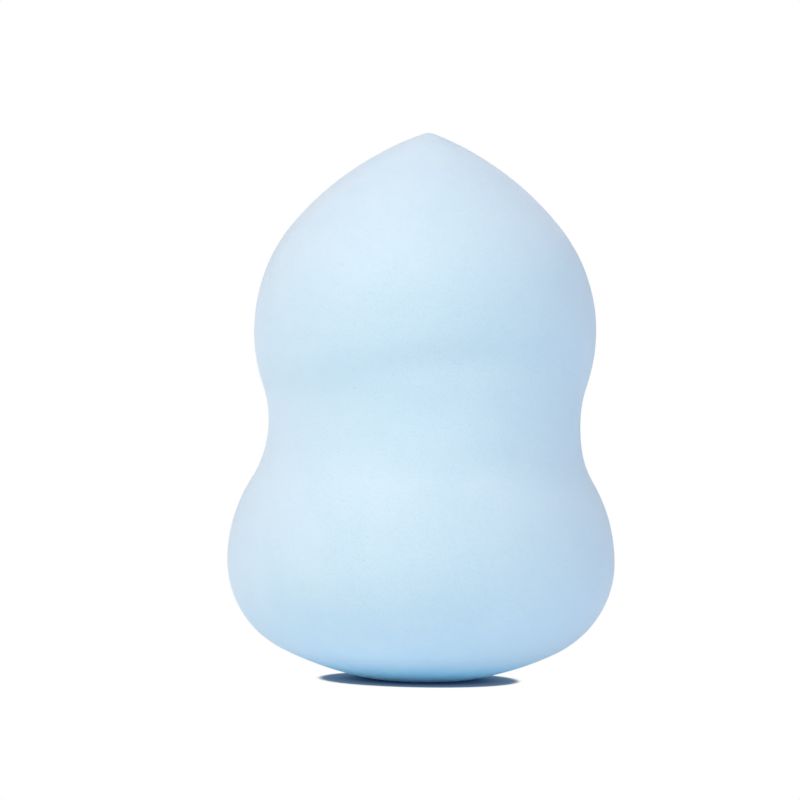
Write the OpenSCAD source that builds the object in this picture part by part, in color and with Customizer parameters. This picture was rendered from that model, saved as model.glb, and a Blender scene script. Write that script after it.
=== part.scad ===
// Makeup sponge: one soft foam body, turned about its upright axis
// A pointed upper lobe stands over a waist and a wider lower lobe with a domed underside.
// The outline is a chain of arcs, each tangent to the next, from the resting face to the tip.
// Sizes are in millimetres, and the origin is the middle of the resting face, with +Z up.

/* [Lower lobe] */
// Diameter of the widest ring
lower_d = 42.5; // [39:0.1:46]
// Rise from the resting face to the widest ring
lower_rise = 13; // [10:0.1:15]
// Radius of the domed underside
dome_r = 34; // [30:0.5:45]
// Depth by which the dome is cut flat to rest on
flat_depth = 0.3; // [0.1:0.1:1]

/* [Waist] */
// Diameter of the narrowest ring
waist_d = 34; // [32:0.1:36]
// Rise from the lower lobe's widest ring to the waist
waist_rise = 15.1; // [13:0.1:19]
// Radius of the hollow that runs round the waist
waist_r = 12; // [9:0.5:18]

/* [Upper lobe] */
// Diameter of the widest ring
upper_d = 37.5; // [36.2:0.1:40]
// Rise from the waist to the widest ring
upper_rise = 10.3; // [9:0.1:14]
// Radius of the round flank above the widest ring
crown_r = 18; // [14:0.5:18.5]

/* [Tip] */
// Rise from the upper lobe's widest ring to the tip
tip_rise = 21.6; // [19:0.1:25]
// Radius of the long shoulder that runs up to the tip
shoulder_r = 32.5; // [25:0.5:45]
// Radius of the rounding on the tip
tip_r = 1.5; // [0.5:0.1:3]

/* [Smoothness] */
// Greatest turn from one point of the outline to the next, in degrees
turn_step = 5; // [2:1:8]
// Number of sides the body is turned with
round_sides = 144; // [48:12:240]

/* [Hidden] */

// Pale sky blue
foam_colour = [0.79, 0.90, 0.97];

// Radii of the three rings, and their heights above the resting face
lower_ring_r = lower_d / 2;
waist_ring_r = waist_d / 2;
upper_ring_r = upper_d / 2;
lower_z = lower_rise;
waist_z = lower_z + waist_rise;
upper_z = waist_z + upper_rise;
tip_z = upper_z + tip_rise;

// Bearing of one point seen from another, in degrees
function bearing(from, to) = atan2(to.y - from.y, to.x - from.x);

// Points along an arc between two bearings, without its first, where the arc before it ends
function arc(centre, r, from, to) =
    let (steps = ceil(abs(to - from) / turn_step))
    [for (i = [1:steps])
        let (a = from + (to - from) * i / steps)
        centre + r * [cos(a), sin(a)]];

// Radius of a flank that is upright at its lobe's widest ring and runs into the waist's hollow
function flank_r(inset, rise) = (inset^2 + rise^2) / (2 * inset) - waist_r;

// Centre of a circle of radius r round two smaller circles that it touches from outside,
// on the left as seen from the first of them to the second
function circle_round(c1, r1, c2, r2, r) =
    let (
        span = c2 - c1,
        d = norm(span),
        along = ((r - r1)^2 - (r - r2)^2 + d^2) / (2 * d),
        across = sqrt((r - r1)^2 - along^2))
    c1 + (along * span + across * [-span.y, span.x]) / d;

// Dome that the sponge rests on, cut flat at its lowest point
dome_centre = [0, dome_r - flat_depth];
foot_r = sqrt(dome_r^2 - dome_centre.y^2);
foot_bearing = bearing(dome_centre, [foot_r, 0]);

// Turn from the dome up to the lower lobe's widest ring
turn_r = (dome_r^2 - lower_ring_r^2 - (dome_centre.y - lower_z)^2)
    / (2 * (dome_r - lower_ring_r));
turn_centre = [lower_ring_r - turn_r, lower_z];
turn_bearing = bearing(dome_centre, turn_centre);

// Flanks above and below the waist, with the waist's hollow between them
waist_centre = [waist_ring_r + waist_r, waist_z];
lower_flank_r = flank_r(lower_ring_r - waist_ring_r, waist_rise);
lower_flank_centre = [lower_ring_r - lower_flank_r, lower_z];
lower_bearing = bearing(lower_flank_centre, waist_centre);
upper_flank_r = flank_r(upper_ring_r - waist_ring_r, upper_rise);
upper_flank_centre = [upper_ring_r - upper_flank_r, upper_z];
upper_bearing = bearing(upper_flank_centre, waist_centre);

// Round crown, long shoulder and small rounding at the tip
crown_centre = [upper_ring_r - crown_r, upper_z];
tip_centre = [0, tip_z - tip_r];
shoulder_centre = circle_round(crown_centre, crown_r, tip_centre, tip_r, shoulder_r);
crown_bearing = bearing(shoulder_centre, crown_centre);
tip_bearing = bearing(shoulder_centre, tip_centre);

// Half outline, from the middle of the resting face round to the tip
outline = concat(
    [[0, 0], [foot_r, 0]],
    arc(dome_centre, dome_r, foot_bearing, turn_bearing),
    arc(turn_centre, turn_r, turn_bearing, 0),
    arc(lower_flank_centre, lower_flank_r, 0, lower_bearing),
    arc(waist_centre, waist_r, lower_bearing + 180, upper_bearing + 180),
    arc(upper_flank_centre, upper_flank_r, upper_bearing, 0),
    arc(crown_centre, crown_r, 0, crown_bearing),
    arc(shoulder_centre, shoulder_r, crown_bearing, tip_bearing),
    arc(tip_centre, tip_r, tip_bearing, 90));

// The whole sponge, one piece of soft foam
module foam_body() {
    color(foam_colour)
        rotate_extrude($fn = round_sides)
            polygon(outline);
}

foam_body();
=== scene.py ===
import bmesh
import bpy
import math
from mathutils import Matrix, Vector, noise


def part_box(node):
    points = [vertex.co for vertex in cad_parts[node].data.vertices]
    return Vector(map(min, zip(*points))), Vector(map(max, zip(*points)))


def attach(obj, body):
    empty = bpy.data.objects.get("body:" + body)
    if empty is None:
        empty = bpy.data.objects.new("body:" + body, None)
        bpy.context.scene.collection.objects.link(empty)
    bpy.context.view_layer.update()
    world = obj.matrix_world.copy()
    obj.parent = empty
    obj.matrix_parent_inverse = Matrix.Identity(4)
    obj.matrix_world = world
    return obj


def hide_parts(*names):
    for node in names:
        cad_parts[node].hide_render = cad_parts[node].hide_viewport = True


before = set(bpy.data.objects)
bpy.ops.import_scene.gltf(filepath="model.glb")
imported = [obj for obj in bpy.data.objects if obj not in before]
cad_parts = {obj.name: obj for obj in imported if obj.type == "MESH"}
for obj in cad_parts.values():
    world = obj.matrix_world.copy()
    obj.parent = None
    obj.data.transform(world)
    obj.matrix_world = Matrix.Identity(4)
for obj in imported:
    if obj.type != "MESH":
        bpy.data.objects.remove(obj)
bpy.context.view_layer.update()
mm = 0.001  # sizes below are in millimetres, and Blender works in metres
bodyLow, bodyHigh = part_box("foam_body")


# Sponge body

spongeForm = {
    "tipHeight": bodyHigh.z / mm,  # height and greatest radius come from the frame
    "lowerRing": (bodyHigh.x / mm, 13.0),  # radius and height of the widest ring
    "waistRing": (17.0, 28.1),
    "upperRing": (18.75, 38.4),
    "domeRadius": 34.0,  # underside
    "flatDepth": 0.3,  # how deep the underside is pressed flat
    "hollowRadius": 12.0,  # hollow round the waist
    "crownRadius": 18.0,
    "shoulderRadius": 32.5,
    "tipRadius": 1.5,
    "ringSpacing": 0.36,  # greatest step between rings of the mesh
    "mergeShare": 0.001,  # points closer than this share of the step are one
    "turnSteps": 360,  # steps of the full turn
    "swellSize": 14.0,  # slow unevenness of soft foam, size and height
    "swellHeight": 0.09,
    "dimpleSize": 3.2,
    "dimpleHeight": 0.018,
    "footFade": 4.0,  # the unevenness fades out over this height above the foot
    "sideFade": 3.0,  # how quickly the front forms set in from the sides
    "axisGuard": 1.0,  # least radius that they reckon with, near the tip
    # Each form's middle and spread are given across and up, and its slant and bow say how its
    # line climbs and bends on the way across.
    "frontForms": (
        # fold under the upper lobe, with drooping ends
        {"middle": (4.5, 34.65), "slant": 0.05, "bow": -0.006, "spread": (9.2, 1.7), "rise": -0.65},
        # fuller waist, most on the right
        {"middle": (8.5, 27.0), "slant": 0.1, "bow": 0.0, "spread": (9.5, 3.3), "rise": 1.15},
        # fuller upper lobe
        {"middle": (-4.0, 43.7), "slant": -0.15, "bow": 0.0, "spread": (7.5, 2.8), "rise": 0.6},
    ),
}


def flat(x, z):
    return Vector((x, 0.0, z))  # the outline is drawn in the XZ plane


def bearing(origin, target):
    return math.atan2(target.z - origin.z, target.x - origin.x)


def flankRadius(inset, rise, hollow):
    return (inset ** 2 + rise ** 2) / (2 * inset) - hollow  # upright at the ring, meets the hollow


def circleRound(crown, crownRadius, tip, tipRadius, radius):
    span = tip - crown  # a circle that both touch from inside, with its centre across the axis
    fromCrown, fromTip = radius - crownRadius, radius - tipRadius
    along = (fromCrown ** 2 - fromTip ** 2 + span.length_squared) / (2 * span.length)
    across = math.sqrt(fromCrown ** 2 - along ** 2)
    return crown + (along * span + across * flat(-span.z, span.x)) / span.length


def outlineArcs(form):
    lowerR, lowerZ = form["lowerRing"]
    waistR, waistZ = form["waistRing"]
    upperR, upperZ = form["upperRing"]
    domeR, hollowR = form["domeRadius"], form["hollowRadius"]
    dome = flat(0.0, domeR - form["flatDepth"])
    footR = math.sqrt(domeR ** 2 - dome.z ** 2)
    turnR = (domeR ** 2 - lowerR ** 2 - (dome.z - lowerZ) ** 2) / (2 * (domeR - lowerR))
    turn = flat(lowerR - turnR, lowerZ)
    hollow = flat(waistR + hollowR, waistZ)
    lowerFlank = flat(lowerR - flankRadius(lowerR - waistR, waistZ - lowerZ, hollowR), lowerZ)
    upperFlank = flat(upperR - flankRadius(upperR - waistR, upperZ - waistZ, hollowR), upperZ)
    crownR, tipR = form["crownRadius"], form["tipRadius"]
    crown = flat(upperR - crownR, upperZ)
    tip = flat(0.0, form["tipHeight"] - tipR)
    shoulder = circleRound(crown, crownR, tip, tipR, form["shoulderRadius"])
    underTurn = bearing(dome, turn)
    lowerTurn = bearing(lowerFlank, hollow)
    upperTurn = bearing(upperFlank, hollow)
    crownTurn = bearing(shoulder, crown)
    tipTurn = bearing(shoulder, tip)
    arcs = [  # centre, first bearing, last bearing
        (dome, bearing(dome, flat(footR, 0.0)), underTurn),
        (turn, underTurn, 0.0),
        (lowerFlank, 0.0, lowerTurn),
        (hollow, lowerTurn, upperTurn),
        (upperFlank, upperTurn, 0.0),
        (crown, 0.0, crownTurn),
        (shoulder, crownTurn, tipTurn),
        (tip, tipTurn, math.pi / 2),
    ]
    return footR, arcs


def lastVert(made):
    return next(g for g in made["geom_last"] if isinstance(g, bmesh.types.BMVert))


def spunBody(form):
    footR, arcs = outlineArcs(form)
    spacing = form["ringSpacing"]
    merge = spacing * form["mergeShare"]
    inPlane = (0, -1, 0)  # axis that the outline's own arcs turn about
    bm = bmesh.new()
    end = bm.verts.new((0.0, 0.0, 0.0))
    steps = math.ceil(footR / spacing)  # resting face, as one straight run
    end = lastVert(bmesh.ops.spin(bm, geom=[end], cent=end.co, axis=inPlane, angle=0.0,
                                  dvec=(footR / steps, 0, 0), steps=steps))
    for centre, first, last in arcs:
        sweep = last - first
        steps = math.ceil(abs(sweep) * (end.co - centre).length / spacing)
        end = lastVert(bmesh.ops.spin(bm, geom=[end], cent=centre, axis=inPlane, angle=sweep,
                                      steps=steps))
    end.co.x = 0.0  # the tip closes on the axis
    bmesh.ops.spin(bm, geom=bm.verts[:] + bm.edges[:], cent=(0, 0, 0), axis=(0, 0, 1),
                   angle=2 * math.pi, steps=form["turnSteps"], use_merge=True)
    bmesh.ops.remove_doubles(bm, verts=bm.verts, dist=merge)
    bmesh.ops.dissolve_degenerate(bm, edges=bm.edges, dist=merge)
    bmesh.ops.recalc_face_normals(bm, faces=bm.faces)
    return bm


def softFall(distance, spread):
    return math.exp(-(distance / spread) ** 2 / 2)


def frontRise(place, form):
    facing = -place.y / max(place.xy.length, form["axisGuard"])  # 1 in front, 0 at the sides
    share = min(1.0, max(0.0, form["sideFade"] * facing))
    rise = 0.0
    for shape in form["frontForms"]:
        across = place.x - shape["middle"][0]
        line = shape["middle"][1] + shape["slant"] * across + shape["bow"] * across ** 2
        wide, high = shape["spread"]
        rise += shape["rise"] * softFall(across, wide) * softFall(place.z - line, high)
    return share * rise


def unevenFoam(bm, form):
    bm.normal_update()
    moves = []
    for v in bm.verts:
        fade = min(1.0, max(0.0, v.co.z / form["footFade"])) ** 2
        swell = noise.noise(v.co / form["swellSize"]) * form["swellHeight"]
        dimple = noise.noise(v.co / form["dimpleSize"]) * form["dimpleHeight"]
        moves.append(v.normal * (fade * (swell + dimple) + frontRise(v.co, form)))
    for v, move in zip(bm.verts, moves):
        v.co += move


def addToScene(name, data):
    thing = bpy.data.objects.new(name, data)
    bpy.context.scene.collection.objects.link(thing)
    return thing


def pieceFrom(bm, name):
    bmesh.ops.scale(bm, vec=(mm, mm, mm), verts=bm.verts)
    for face in bm.faces:
        face.smooth = True
    mesh = bpy.data.meshes.new(name)
    bm.to_mesh(mesh)
    bm.free()
    return addToScene(name, mesh)


spongeMesh = spunBody(spongeForm)
unevenFoam(spongeMesh, spongeForm)
sponge = pieceFrom(spongeMesh, "soft_foam_body")
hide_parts("foam_body")
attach(sponge, "root")
print("sponge turned:", len(sponge.data.vertices), "points")


# Node helpers

nodeStep = (220, -200)  # from one column or row to the next, in the node editor


def screenColour(red, green, blue):
    def linear(level):  # screen levels of 0 to 255, undone to light
        share = level / 255
        return share / 12.92 if share <= 0.04045 else ((share + 0.055) / 1.055) ** 2.4
    return (linear(red), linear(green), linear(blue), 1.0)


def addNode(tree, kind, column, row, values=None, **settings):
    node = tree.nodes.new(kind)
    node.location = (column * nodeStep[0], row * nodeStep[1])
    for name, value in settings.items():
        setattr(node, name, value)
    for name, value in (values or {}).items():
        node.inputs[name].default_value = value
    return node


def addColourMix(tree, column, row, factor, first, second):
    node = addNode(tree, "ShaderNodeMix", column, row, data_type="RGBA")
    sockets = {"factor": node.inputs[0], "first": node.inputs[6], "second": node.inputs[7]}
    for name, value in (("factor", factor), ("first", first), ("second", second)):
        if isinstance(value, bpy.types.NodeSocket):
            tree.links.new(value, sockets[name])
        else:
            sockets[name].default_value = value
    return node.outputs[2]


def addRamp(tree, column, row, steps):
    ramp = addNode(tree, "ShaderNodeValToRGB", column, row)
    stops = ramp.color_ramp.elements
    while len(stops) < len(steps):
        stops.new(1.0)
    for stop, (position, colour) in zip(stops, steps):
        stop.position, stop.color = position, colour
    return ramp


def seenRays(tree):
    path = addNode(tree, "ShaderNodeLightPath", 0, 0)
    direct = addNode(tree, "ShaderNodeMath", 1, 0, operation="ADD", use_clamp=True)
    through = addNode(tree, "ShaderNodeMath", 2, 0, operation="ADD", use_clamp=True)
    link = tree.links.new
    link(path.outputs["Is Camera Ray"], direct.inputs[0])
    link(path.outputs["Is Glossy Ray"], direct.inputs[1])
    link(direct.outputs[0], through.inputs[0])
    link(path.outputs["Is Transmission Ray"], through.inputs[1])
    return through.outputs[0]  # 1 where it is seen, 0 where it only gives light


def emptyMaterial(name):
    material = bpy.data.materials.new(name)
    material.use_nodes = True
    material.node_tree.nodes.clear()
    return material, material.node_tree


# Foam

foamLook = {
    "colour": screenColour(218, 236, 250),
    "patch": screenColour(214, 234, 249),  # slightly deeper patches
    "openingShade": screenColour(188, 219, 243),  # painted shade inside the cells and pores, which are real but drawn only as bumps
    "patchSize": 7.0,  # mm
    "patchDetail": 3.0,
    "patchRange": (0.35, 0.65),  # where the noise turns from one colour to the other
    "cellSpacing": 0.26,
    "cellOpening": 0.5,  # share of the spacing
    "cellShade": 0.22,  # how far an opening takes the painted shade
    "cellDepth": 0.02,  # mm
    "poreSpacing": 1.7,
    "poreOpening": 0.13,
    "poreShade": 0.22,
    "poreDepth": 0.03,
    "roughness": (0.86, 0.97),
    "specular": 0.25,
    "sheen": 0.5,
    "sheenRoughness": 0.5,
    "scatter": 0.25,
    "scatterReach": 0.3,  # mm
    "scatterTint": (0.8, 1.0, 1.2),
}


def cellGroup():
    group = bpy.data.node_groups.new("foamCells", "ShaderNodeTree")
    ports = group.interface
    ports.new_socket("Vector", in_out="INPUT", socket_type="NodeSocketVector")
    ports.new_socket("Spacing", in_out="INPUT", socket_type="NodeSocketFloat")
    ports.new_socket("Opening Size", in_out="INPUT", socket_type="NodeSocketFloat")
    ports.new_socket("Openings", in_out="OUTPUT", socket_type="NodeSocketFloat")
    start = addNode(group, "NodeGroupInput", 0, 0)
    perMm = addNode(group, "ShaderNodeMath", 1, 1, {0: 1.0}, operation="DIVIDE")
    cells = addNode(group, "ShaderNodeTexVoronoi", 2, 0)
    edge = addNode(group, "ShaderNodeMapRange", 3, 0, {"To Min": 1.0, "To Max": 0.0},
                   interpolation_type="SMOOTHSTEP")
    end = addNode(group, "NodeGroupOutput", 4, 0)
    link = group.links.new
    link(start.outputs["Spacing"], perMm.inputs[1])
    link(start.outputs["Vector"], cells.inputs["Vector"])
    link(perMm.outputs[0], cells.inputs["Scale"])
    link(cells.outputs["Distance"], edge.inputs["Value"])
    link(start.outputs["Opening Size"], edge.inputs["From Max"])
    link(edge.outputs["Result"], end.inputs["Openings"])
    return group


def foamMaterial(look):
    material, tree = emptyMaterial("paleBlueFoam")
    link = tree.links.new
    cells = cellGroup()
    place = addNode(tree, "ShaderNodeTexCoord", 0, 0)
    inMm = addNode(tree, "ShaderNodeMapping", 1, 0, {"Scale": (1 / mm,) * 3})
    patches = addNode(tree, "ShaderNodeTexNoise", 2, 0,
                      {"Scale": 1 / look["patchSize"], "Detail": look["patchDetail"]})
    patchEdge = addNode(tree, "ShaderNodeMapRange", 3, 0,
                        {"From Min": look["patchRange"][0], "From Max": look["patchRange"][1]})
    fine = addNode(tree, "ShaderNodeGroup", 2, 2, node_tree=cells)
    fine.inputs["Spacing"].default_value = look["cellSpacing"]
    fine.inputs["Opening Size"].default_value = look["cellOpening"]
    pores = addNode(tree, "ShaderNodeGroup", 2, 3, node_tree=cells)
    pores.inputs["Spacing"].default_value = look["poreSpacing"]
    pores.inputs["Opening Size"].default_value = look["poreOpening"]
    fineShade = addNode(tree, "ShaderNodeMath", 3, 2, {1: look["cellShade"]}, operation="MULTIPLY")
    poreShade = addNode(tree, "ShaderNodeMath", 3, 3, {1: look["poreShade"]}, operation="MULTIPLY")
    shade = addNode(tree, "ShaderNodeMath", 4, 2, operation="ADD", use_clamp=True)
    dryness = addNode(tree, "ShaderNodeMapRange", 4, 1,
                      {"To Min": look["roughness"][0], "To Max": look["roughness"][1]})
    fineDip = addNode(tree, "ShaderNodeBump", 5, 3, {"Distance": look["cellDepth"] * mm}, invert=True)
    poreDip = addNode(tree, "ShaderNodeBump", 6, 3, {"Distance": look["poreDepth"] * mm}, invert=True)
    foam = addNode(tree, "ShaderNodeBsdfPrincipled", 7, 0, {
        "Subsurface Weight": look["scatter"],
        "Subsurface Scale": look["scatterReach"] * mm,
        "Subsurface Radius": look["scatterTint"],
        "Specular IOR Level": look["specular"],
        "Sheen Weight": look["sheen"],
        "Sheen Roughness": look["sheenRoughness"],
    })
    end = addNode(tree, "ShaderNodeOutputMaterial", 9, 0)
    link(place.outputs["Object"], inMm.inputs["Vector"])
    for pattern in (patches, fine, pores):
        link(inMm.outputs["Vector"], pattern.inputs["Vector"])
    link(patches.outputs["Fac"], patchEdge.inputs["Value"])
    link(patches.outputs["Fac"], dryness.inputs["Value"])
    link(fine.outputs["Openings"], fineShade.inputs[0])
    link(pores.outputs["Openings"], poreShade.inputs[0])
    link(fineShade.outputs[0], shade.inputs[0])
    link(poreShade.outputs[0], shade.inputs[1])
    tinted = addColourMix(tree, 5, 0, patchEdge.outputs["Result"], look["colour"], look["patch"])
    # cell and pore openings take painted shade, a deeper blue
    coloured = addColourMix(tree, 6, 0, shade.outputs[0], tinted, look["openingShade"])
    link(fine.outputs["Openings"], fineDip.inputs["Height"])
    link(pores.outputs["Openings"], poreDip.inputs["Height"])
    link(fineDip.outputs["Normal"], poreDip.inputs["Normal"])
    link(coloured, foam.inputs["Base Color"])
    link(dryness.outputs["Result"], foam.inputs["Roughness"])
    link(poreDip.outputs["Normal"], foam.inputs["Normal"])
    link(foam.outputs["BSDF"], end.inputs["Surface"])
    return material


sponge.data.materials.append(foamMaterial(foamLook))
print("foam finished")


# Floor, room and lamps

stageLook = {
    "floorSize": 4000.0,  # mm
    "floorCells": 41,  # each way, small so that the contact shadow stays exact
    "floorDrop": 0.02,  # keeps the floor clear of the foot's flat face
    "floorBounce": (0.55, 0.73, 0.88, 1.0),  # how the floor throws light back on the sponge, with painted shade where the sponge is close above
    "white": (1.0, 1.0, 1.0, 1.0),
    "shadowReach": 1.85,  # how far the floor looks for something close above it
    "shadowSamples": 24,
    "shadowSteps": (  # the floor's colour by how open it is, from the contact outwards
        (0.00, screenColour(4, 14, 40)),
        (0.03, screenColour(28, 50, 80)),
        (0.085, screenColour(42, 66, 98)),
        (0.16, screenColour(59, 86, 116)),
        (0.28, screenColour(78, 104, 132)),
        (0.60, screenColour(95, 122, 148)),
        (0.70, screenColour(255, 255, 255)),
    ),
    "glowReach": 2.8,
    "glowSamples": 8,
    "glowSteps": (  # painted light from below, the floor glowing though it is no lamp: deep blue close to the foam, then a pale warm glow
        (0.00, (0.00, 0.00, 0.04, 1.0)),
        (0.30, (0.07, 0.38, 0.60, 1.0)),
        (1.00, (0.23, 0.21, 0.17, 1.0)),
    ),
    "roomLight": (0.420, 0.399, 0.462, 1.0),
}


def floorMaterial(look):
    material, tree = emptyMaterial("paleFloor")
    link = tree.links.new
    seen = seenRays(tree)
    closeness = addNode(tree, "ShaderNodeAmbientOcclusion", 0, 2,
                        {"Distance": look["shadowReach"] * mm}, samples=look["shadowSamples"])
    shadow = addRamp(tree, 1, 2, look["shadowSteps"])
    # painted shade: the floor's bounce colour fades to dark where the sponge is close above
    openness = addNode(tree, "ShaderNodeAmbientOcclusion", 0, 3,
                       {"Color": look["floorBounce"], "Distance": look["glowReach"] * mm},
                       samples=look["glowSamples"])
    fromBelow = addRamp(tree, 1, 3, look["glowSteps"])
    bounce = addNode(tree, "ShaderNodeBsdfDiffuse", 2, 1)
    # the floor's painted glow, which lights the sponge from below
    glow = addNode(tree, "ShaderNodeEmission", 2, 3)
    thrown = addNode(tree, "ShaderNodeAddShader", 3, 1)
    shown = addNode(tree, "ShaderNodeEmission", 3, 2)
    side = addNode(tree, "ShaderNodeMixShader", 4, 1)
    below = addNode(tree, "ShaderNodeBsdfTransparent", 4, 2)
    geometry = addNode(tree, "ShaderNodeNewGeometry", 4, 0)
    whole = addNode(tree, "ShaderNodeMixShader", 5, 1)
    end = addNode(tree, "ShaderNodeOutputMaterial", 6, 1)
    link(closeness.outputs["AO"], shadow.inputs["Fac"])
    link(shadow.outputs["Color"], shown.inputs["Color"])
    link(openness.outputs["AO"], fromBelow.inputs["Fac"])
    link(fromBelow.outputs["Color"], glow.inputs["Color"])
    link(openness.outputs["Color"], bounce.inputs["Color"])
    link(seen, side.inputs["Fac"])
    link(bounce.outputs["BSDF"], thrown.inputs[0])
    link(glow.outputs["Emission"], thrown.inputs[1])
    link(thrown.outputs[0], side.inputs[1])
    link(shown.outputs["Emission"], side.inputs[2])
    link(geometry.outputs["Backfacing"], whole.inputs["Fac"])
    link(side.outputs[0], whole.inputs[1])
    link(below.outputs["BSDF"], whole.inputs[2])
    link(whole.outputs[0], end.inputs["Surface"])
    return material


def room(look):
    world = bpy.data.worlds.new("room")
    bpy.context.scene.world = world
    world.use_nodes = True
    tree = world.node_tree
    tree.nodes.clear()
    link = tree.links.new
    lit = addNode(tree, "ShaderNodeBackground", 2, 1, {"Color": look["roomLight"], "Strength": 1.0})
    shown = addNode(tree, "ShaderNodeBackground", 2, 2, {"Color": look["white"], "Strength": 1.0})
    either = addNode(tree, "ShaderNodeMixShader", 3, 0)
    end = addNode(tree, "ShaderNodeOutputWorld", 4, 0)
    link(seenRays(tree), either.inputs["Fac"])
    link(lit.outputs[0], either.inputs[1])
    link(shown.outputs[0], either.inputs[2])
    link(either.outputs[0], end.inputs["Surface"])


def floorPlane(look):
    cells = look["floorCells"]
    bm = bmesh.new()
    bmesh.ops.create_grid(bm, x_segments=cells, y_segments=cells, size=look["floorSize"] / 2)
    bmesh.ops.translate(bm, vec=(0, 0, -look["floorDrop"]), verts=bm.verts)
    piece = pieceFrom(bm, "floor")
    piece.data.materials.append(floorMaterial(look))


lamps = {  # bearing and height in degrees, seen from the middle of the sponge
    "front": {"bearing": -30.0, "height": 15.0, "colour": (0.142, 0.149, 0.053)},
    "left": {"bearing": -50.0, "height": 50.0, "colour": (0.399, 0.371, 0.380)},
    "right": {"bearing": 45.0, "height": 35.0, "colour": (0.145, 0.192, 0.202)},
}
lampSize = 350.0  # mm
lampDistance = 600.0  # mm from the middle of the sponge


def addLamp(name, lamp):
    data = bpy.data.lights.new(name, "AREA")
    data.size = lampSize * mm
    data.color = lamp["colour"]  # light that falls on a white card held square to the lamp
    data.energy = (math.pi * lampDistance * mm) ** 2
    light = addToScene(name, data)
    aside, height = math.radians(lamp["bearing"]), math.radians(lamp["height"])
    away = Vector((math.sin(aside) * math.cos(height), -math.cos(aside) * math.cos(height),
                   math.sin(height)))
    light.location = (bodyLow + bodyHigh) / 2 + away * lampDistance * mm
    light.rotation_euler = away.to_track_quat("Z", "Y").to_euler()


floorPlane(stageLook)
room(stageLook)
for lampName, lampFacts in lamps.items():
    addLamp(lampName, lampFacts)
print("stage lit")


# Camera

cameraView = {
    "aim": (-2.63, 0.0, 30.64),  # mm
    "standsBefore": (0.0, 0.0, 30.0),  # the point whose front the camera stands in
    "distance": 450.0,
    "tilt": 0.75,  # degrees above the horizon
    "roll": 1.04,  # degrees, the sponge leans to the right in the picture
    "lens": 184.4,  # mm, as are the two below
    "sensor": 36.0,
    "clip": (10.0, 20000.0),
}


def addCamera(look):
    data = bpy.data.cameras.new("camera")
    data.lens = look["lens"]
    data.sensor_width = look["sensor"]
    data.clip_start, data.clip_end = (reach * mm for reach in look["clip"])
    camera = addToScene("camera", data)
    tilt = math.radians(look["tilt"])
    back = Vector((0.0, -math.cos(tilt), math.sin(tilt)))
    camera.location = (Vector(look["standsBefore"]) + back * look["distance"]) * mm
    sight = Vector(look["aim"]) * mm - camera.location
    turned = sight.to_track_quat("-Z", "Y").to_matrix()
    rolled = Matrix.Rotation(math.radians(look["roll"]), 3, "Z")
    camera.rotation_euler = (turned @ rolled).to_euler()
    bpy.context.scene.camera = camera


addCamera(cameraView)
bpy.context.scene.view_settings.view_transform = "Standard"
print("camera placed")
